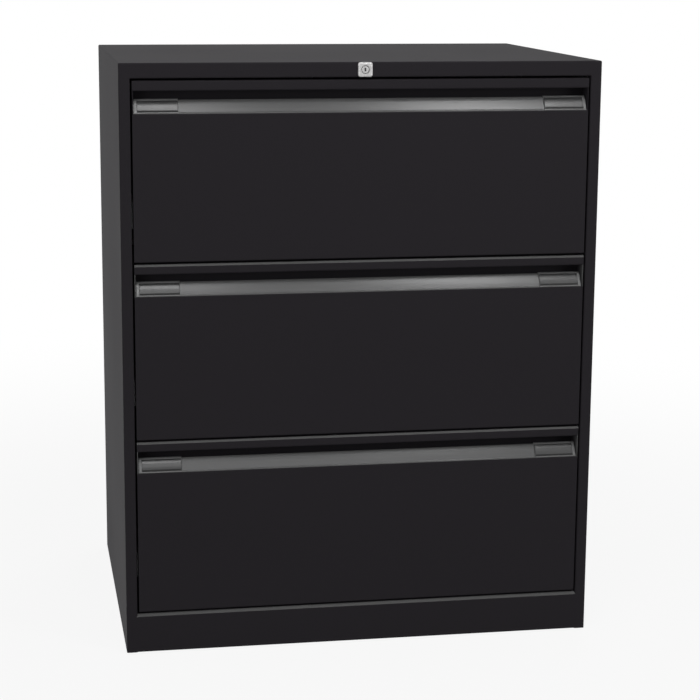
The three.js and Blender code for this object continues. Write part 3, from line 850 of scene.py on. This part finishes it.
def rivets(name, points, turn, radius, finish, body):
    values = {"Radius": radius, "Height": rivetSizes["height"], "Turn": turn, "Finish": finish}
    mesh = bpy.data.meshes.new(name)
    mesh.from_pydata(points, [], [])
    piece = addObject(name, mesh)
    modifier = piece.modifiers.new("rivets", "NODES")
    modifier.node_group = rivetHeads
    for item in rivetHeads.interface.items_tree:
        if item.name in values:
            modifier[item.identifier] = values[item.name]
    settle(piece)
    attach(piece, body)


def backRivets(sizes):
    low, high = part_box("back_panel")
    rowX = halfWidth - sizes["sideInset"]
    points = []
    for z in spread(low.z + sizes["sideLow"], high.z - sizes["sideHigh"], sizes["sideSteps"]):
        points += [(side * rowX, high.y, z) for side in sides.values()]
    for x in spread(-sizes["endHalf"], sizes["endHalf"], sizes["endSteps"]):
        points += [(x, high.y, low.z + sizes["endLow"]), (x, high.y, high.z - sizes["endHigh"])]
    rivets("back_rivets", points, (math.pi / 2, 0, 0), sizes["radius"], black, "cabinet")


def slideRivets(number, sizes):  # these hold the inner slide members to the tray
    points = []
    for name, side in sides.items():
        low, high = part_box(f"slide_inner_{name}_{number}")
        x = low.x + slideSizes["steel"] if side > 0 else high.x - slideSizes["steel"]
        z = (low.z + high.z) / 2
        start, end = low.y + sizes["slideInset"], high.y - sizes["slideInset"]
        points += [(x, y, z) for y in spread(start, end, sizes["slideSteps"])]
    rivets(f"slide_rivets_{number}", points, (0, math.pi / 2, 0), sizes["slideRadius"], zinc,
           f"drawer_{number}")


backRivets(rivetSizes)
for number in drawers:
    slideRivets(number, rivetSizes)
print("rivets made")

# CAD nodes that stay as they are take the same finishes
slotOf = {part["node"]: part["material_slot"] for part in frame["record"]["subparts"]}
for nodeName, node in frame["nodes"].items():
    node.data.materials.clear()
    node.data.materials.append(finishes[slotOf[nodeName]])

# studio: a white background, which lights the object less than it shows, and least from the front
worldSizes = {"front": 0.15, "ambient": 0.29, "middle": 0.5, "towardsBack": 0.6, "upwards": 0.35}


def whiteWorld(sizes):
    world = bpy.data.worlds.new("studio")
    bpy.context.scene.world = world
    world.use_nodes = True
    graph = Graph(world.node_tree)
    direction = graph.node("ShaderNodeTexCoord", {}, {}, "Generated")
    axes = graph.node("ShaderNodeSeparateXYZ", {}, {0: direction})
    slope = sizes["middle"] + sizes["towardsBack"] * axes.out("Y") + sizes["upwards"] * axes.out("Z")
    glow = graph.node("ShaderNodeClamp", {}, {"Value": slope})
    level = sizes["ambient"] * (sizes["front"] + (1 - sizes["front"]) * glow)
    seen = graph.backgroundRays()
    strength = seen + (1 - seen) * level
    light = graph.node("ShaderNodeBackground", {}, {"Color": grey(1), "Strength": strength})
    graph.node("ShaderNodeOutputWorld", {}, {"Surface": light})


# the floor keeps the shadow near the object and fades into the background
floorSizes = {"half": 30, "grey": 0.6, "glow": 0.9, "near": 0.7, "far": 2.6}


def paleFloor(sizes):
    finish, graph = newFinish("paleFloor")
    cover = graph.node("ShaderNodeBsdfDiffuse", {}, {"Color": grey(sizes["grey"])})
    shine = graph.node("ShaderNodeEmission", {}, {"Color": grey(1), "Strength": 1})
    spot = graph.node("ShaderNodeTexCoord", {}, {}, "Object")
    away = graph.node("ShaderNodeVectorMath", {"operation": "LENGTH"}, {0: spot}, "Value")
    fade = graph.node("ShaderNodeMapRange", {"interpolation_type": "SMOOTHSTEP"},
                      {"Value": away, "From Min": sizes["near"], "From Max": sizes["far"],
                       "To Min": sizes["glow"], "To Max": 1})
    mixed = graph.node("ShaderNodeMixShader", {}, {0: fade * graph.backgroundRays(), 1: cover, 2: shine})
    graph.node("ShaderNodeOutputMaterial", {}, {"Surface": mixed})
    bm = bmesh.new()
    bmesh.ops.create_grid(bm, x_segments=1, y_segments=1, size=sizes["half"])
    floor = addObject("floor", meshFrom("floor", bm))
    floor.data.materials.append(finish)


lampSizes = {  # place, aim, width, height, watts
    "topFront": ((0.1, -3.0, 2.9), (0, -0.3, 0.6), 2.4, 0.9, 12),
    "overhead": ((-0.2, 0.2, 3.0), (-0.1, 0.1, 1.0), 2.0, 1.2, 6),
    "frontFill": ((-2.6, -3.4, 1.6), (0, -0.3, 0.5), 1.8, 1.8, 46),
    "rightFill": ((2.7, -3.2, 1.4), (0, -0.3, 0.5), 1.5, 1.5, 36),
    "leftKey": ((-3.2, 0.6, 1.3), (-0.4, 0.0, 0.5), 1.2, 1.4, 4),
    "rightStrip": ((0.6, -1.3, 2.25), (0.2, -0.31, 0.8), 0.3, 0.6, 7),
    "leftStrip": ((-0.21, -1.3, 2.25), (-0.35, -0.31, 0.9), 0.25, 0.6, 3.8),
    "rearFill": ((1.7, 3.1, 0.55), (0.2, 0.2, 0.5), 1.6, 0.8, 80),
}


def lamps(sizes):
    for name, (spot, aim, width, height, watts) in sizes.items():
        light = bpy.data.lights.new(name, "AREA")
        light.shape = "RECTANGLE"
        light.size, light.size_y = width, height
        light.energy = watts
        lamp = addObject(name, light)
        lamp.location = spot
        lamp.rotation_euler = (Vector(aim) - Vector(spot)).to_track_quat("-Z", "Y").to_euler()
        lamp.visible_camera = False


cameraSizes = {"place": (-0.597, -3.426, 1.195), "yaw": 9.58, "pitch": -11.06, "roll": 0.27,
               "sensor": 36, "lens": 97.37, "shiftX": 0.04, "shiftY": -0.04}


def camera(sizes):
    data = bpy.data.cameras.new("photoView")
    data.sensor_width = sizes["sensor"]
    data.lens = sizes["lens"]
    data.shift_x, data.shift_y = sizes["shiftX"], sizes["shiftY"]
    eye = addObject("photoView", data)
    turn = (Matrix.Rotation(math.radians(-sizes["yaw"]), 3, "Z")
            @ Matrix.Rotation(math.radians(90 + sizes["pitch"]), 3, "X")
            @ Matrix.Rotation(math.radians(sizes["roll"]), 3, "Z"))
    eye.location = sizes["place"]
    eye.rotation_euler = turn.to_euler()
    bpy.context.scene.camera = eye


bpy.context.scene.view_settings.view_transform = "Standard"
whiteWorld(worldSizes)
paleFloor(floorSizes)
lamps(lampSizes)
camera(cameraSizes)
print("studio ready")
